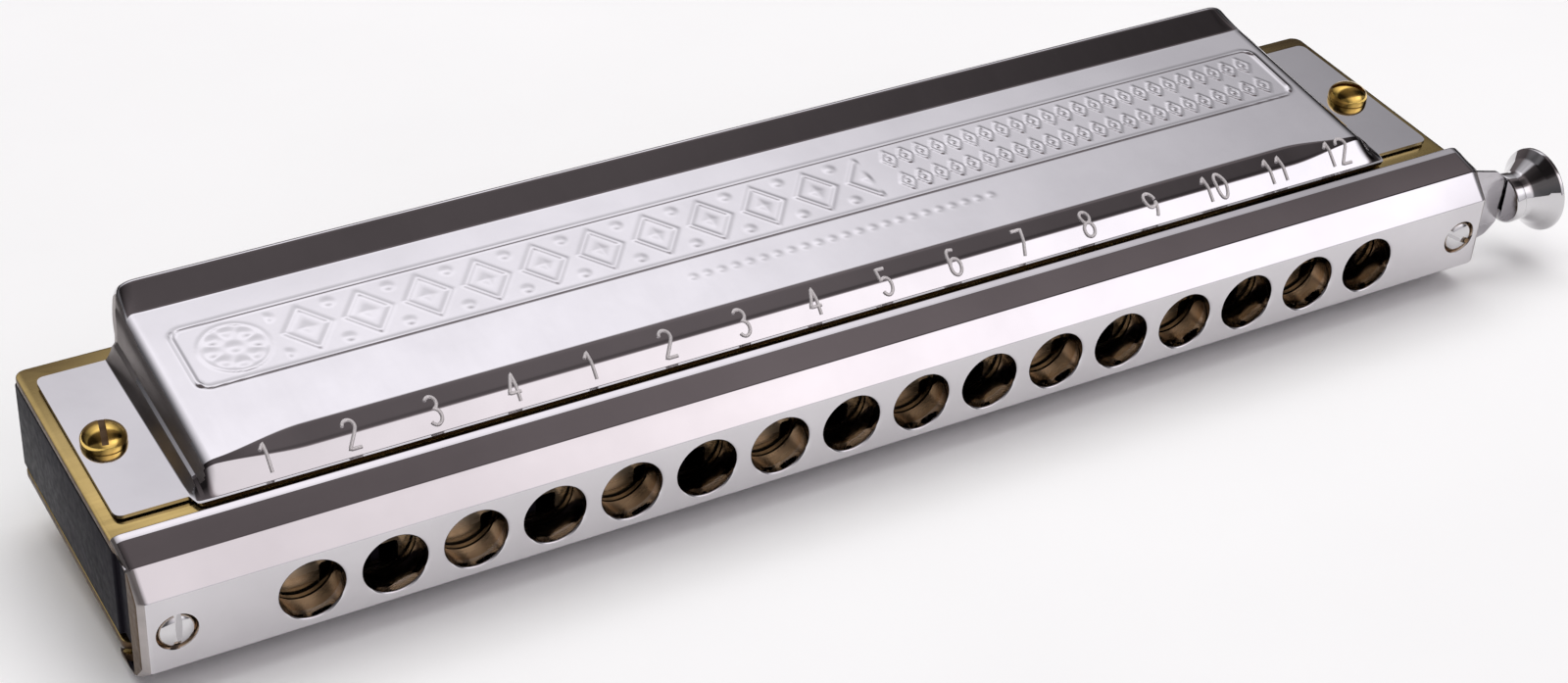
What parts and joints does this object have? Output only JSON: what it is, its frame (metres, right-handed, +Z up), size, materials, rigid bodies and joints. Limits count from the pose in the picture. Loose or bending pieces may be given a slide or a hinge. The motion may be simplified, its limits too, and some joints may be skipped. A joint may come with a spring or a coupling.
{
  "type": "chromatic harmonica",
  "caption": "Long chromatic harmonica with round mouth holes, chromed covers, brass reed plates, a black comb and a sprung slide worked by a flared push button.",
  "frame": {"origin": "middle of the bounding box's base, on the floor plane that the instrument lies on", "axes": "+X runs along the row of holes, from the low end to the push button; +Y runs level from the mouthpiece to the open back; +Z is up. The instrument's own middle plane is tipped about 7.2 degrees, back up, because it lies on the shoulder and the crest of its lower cover"},
  "size_m": [0.1964, 0.0466, 0.0281],
  "materials": {
    "chrome": "polished chrome plating",
    "brass": "brushed brass",
    "slide_steel": "plated sheet, brownish where it is seen through the holes",
    "black_plastic": "moulded black plastic, half gloss",
    "spring_steel": "drawn spring wire",
    "rubber": "matt"
  },
  "bodies": {
    "harmonica": {"comb": "black_plastic", "mouthpiece": "chrome", "mouthpiece_screw_left": "chrome", "mouthpiece_screw_right": "chrome", "upper_cover": "chrome", "lower_cover": "chrome", "slide_cage_front_plate": "slide_steel", "slide_back_plate": "slide_steel", "slide_spring": "spring_steel", "slide_bumper_left": "rubber", "slide_bumper_right": "rubber", "upper_reed_plate": "brass", "lower_reed_plate": "brass", "cover_bolt_left": "brass", "cover_bolt_right": "brass", "cover_nut_left": "brass", "cover_nut_right": "brass", "upper_reed_plate_screw_1": "brass", "upper_reed_plate_screw_2": "brass", "upper_reed_plate_screw_3": "brass", "upper_reed_plate_screw_4": "brass", "lower_reed_plate_screw_1": "brass", "lower_reed_plate_screw_2": "brass", "lower_reed_plate_screw_3": "brass", "lower_reed_plate_screw_4": "brass", "upper_reed_01": "brass", "upper_reed_02": "brass", "upper_reed_03": "brass", "upper_reed_04": "brass", "upper_reed_05": "brass", "upper_reed_06": "brass", "upper_reed_07": "brass", "upper_reed_08": "brass", "upper_reed_09": "brass", "upper_reed_10": "brass", "upper_reed_11": "brass", "upper_reed_12": "brass", "upper_reed_13": "brass", "upper_reed_14": "brass", "upper_reed_15": "brass", "upper_reed_16": "brass", "lower_reed_01": "brass", "lower_reed_02": "brass", "lower_reed_03": "brass", "lower_reed_04": "brass", "lower_reed_05": "brass", "lower_reed_06": "brass", "lower_reed_07": "brass", "lower_reed_08": "brass", "lower_reed_09": "brass", "lower_reed_10": "brass", "lower_reed_11": "brass", "lower_reed_12": "brass", "lower_reed_13": "brass", "lower_reed_14": "brass", "lower_reed_15": "brass", "lower_reed_16": "brass"},
    "slide": {"slide": "slide_steel", "slide_button": "chrome"}
  },
  "joints": [
    {"name": "slide_press", "type": "slide", "parent": "harmonica", "child": "slide", "axis": [-1, 0, 0], "range_m": [0, 0.0045], "stiffness_N_per_m": 200, "springref_m": -0.005, "deforming": ["slide_spring"]}
  ]
}
